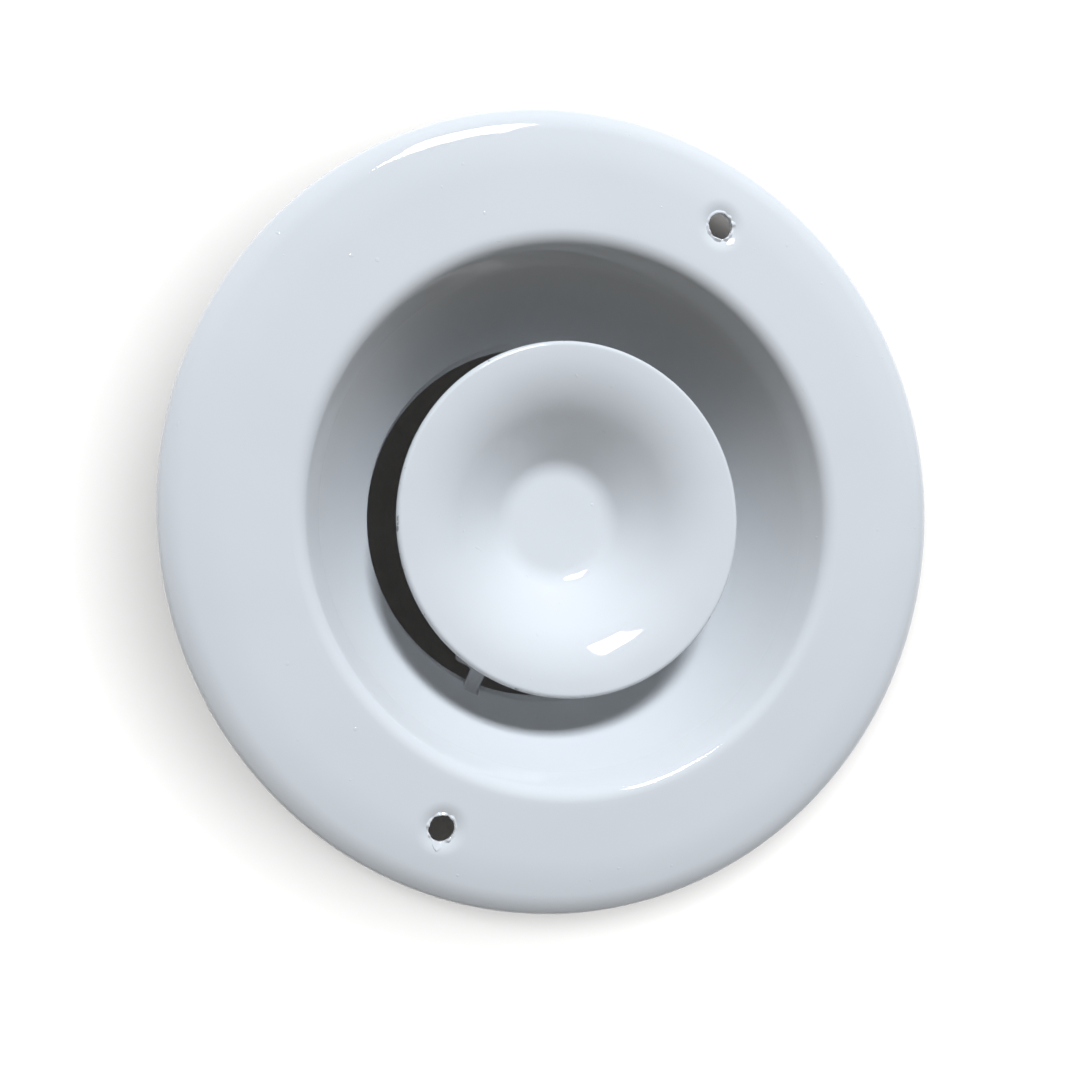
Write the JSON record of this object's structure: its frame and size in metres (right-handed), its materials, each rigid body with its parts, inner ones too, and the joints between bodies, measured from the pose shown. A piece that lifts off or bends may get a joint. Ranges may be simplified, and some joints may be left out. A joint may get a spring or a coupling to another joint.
{
  "type": "ceiling air valve",
  "caption": "Round ceiling air valve: a white enamelled flange with a deep bell, and a dished disc on a threaded spindle that screws in and out to set the air gap.",
  "frame": {"origin": "on the valve's axis, in the plane that lies against the ceiling: the back of the flange's lip and of the foam gasket", "axes": "+Z out of the face, into the room; the two screw holes and the bridge lie along X; -Z into the duct"},
  "size_m": [0.15, 0.15, 0.0609],
  "materials": {
    "enamel": "gloss white enamel with a faint orange peel",
    "plated_steel": "bright zinc plating",
    "gasket_foam": "closed-cell foam"
  },
  "bodies": {
    "root": {"face_ring": "enamel", "ceiling_gasket": "gasket_foam", "bridge": "enamel", "bridge_bush": "plated_steel"},
    "clip_carrier": {"end_clip": "plated_steel"},
    "disc_assembly": {"valve_disc": "enamel", "disc_hub": "plated_steel", "spindle": "plated_steel"},
    "washer_carrier": {"lock_washer": "plated_steel"},
    "nut_assembly": {"lock_nut": "plated_steel"}
  },
  "joints": [
    {"name": "disc_lift", "type": "slide", "parent": "root", "child": "clip_carrier", "axis": [0, 0, 1], "range_m": [-0.015, 0.005]},
    {"name": "disc_turn", "type": "hinge", "parent": "clip_carrier", "child": "disc_assembly", "pos_m": [0, 0, -0.03], "axis": [0, 0, 1], "range_deg": [-5400, 1800]},
    {"name": "washer_slide", "type": "slide", "parent": "root", "child": "washer_carrier", "axis": [0, 0, 1], "range_m": [-0.004, 0]},
    {"name": "nut_turn", "type": "hinge", "parent": "washer_carrier", "child": "nut_assembly", "pos_m": [0, 0, -0.042], "axis": [0, 0, 1], "range_deg": [-1440, 0]}
  ],
  "couplings": [
    {"joint": "disc_turn", "follows": "disc_lift", "rad_per_m": 6283.2},
    {"joint": "nut_turn", "follows": "washer_slide", "rad_per_m": 6283.2}
  ]
}
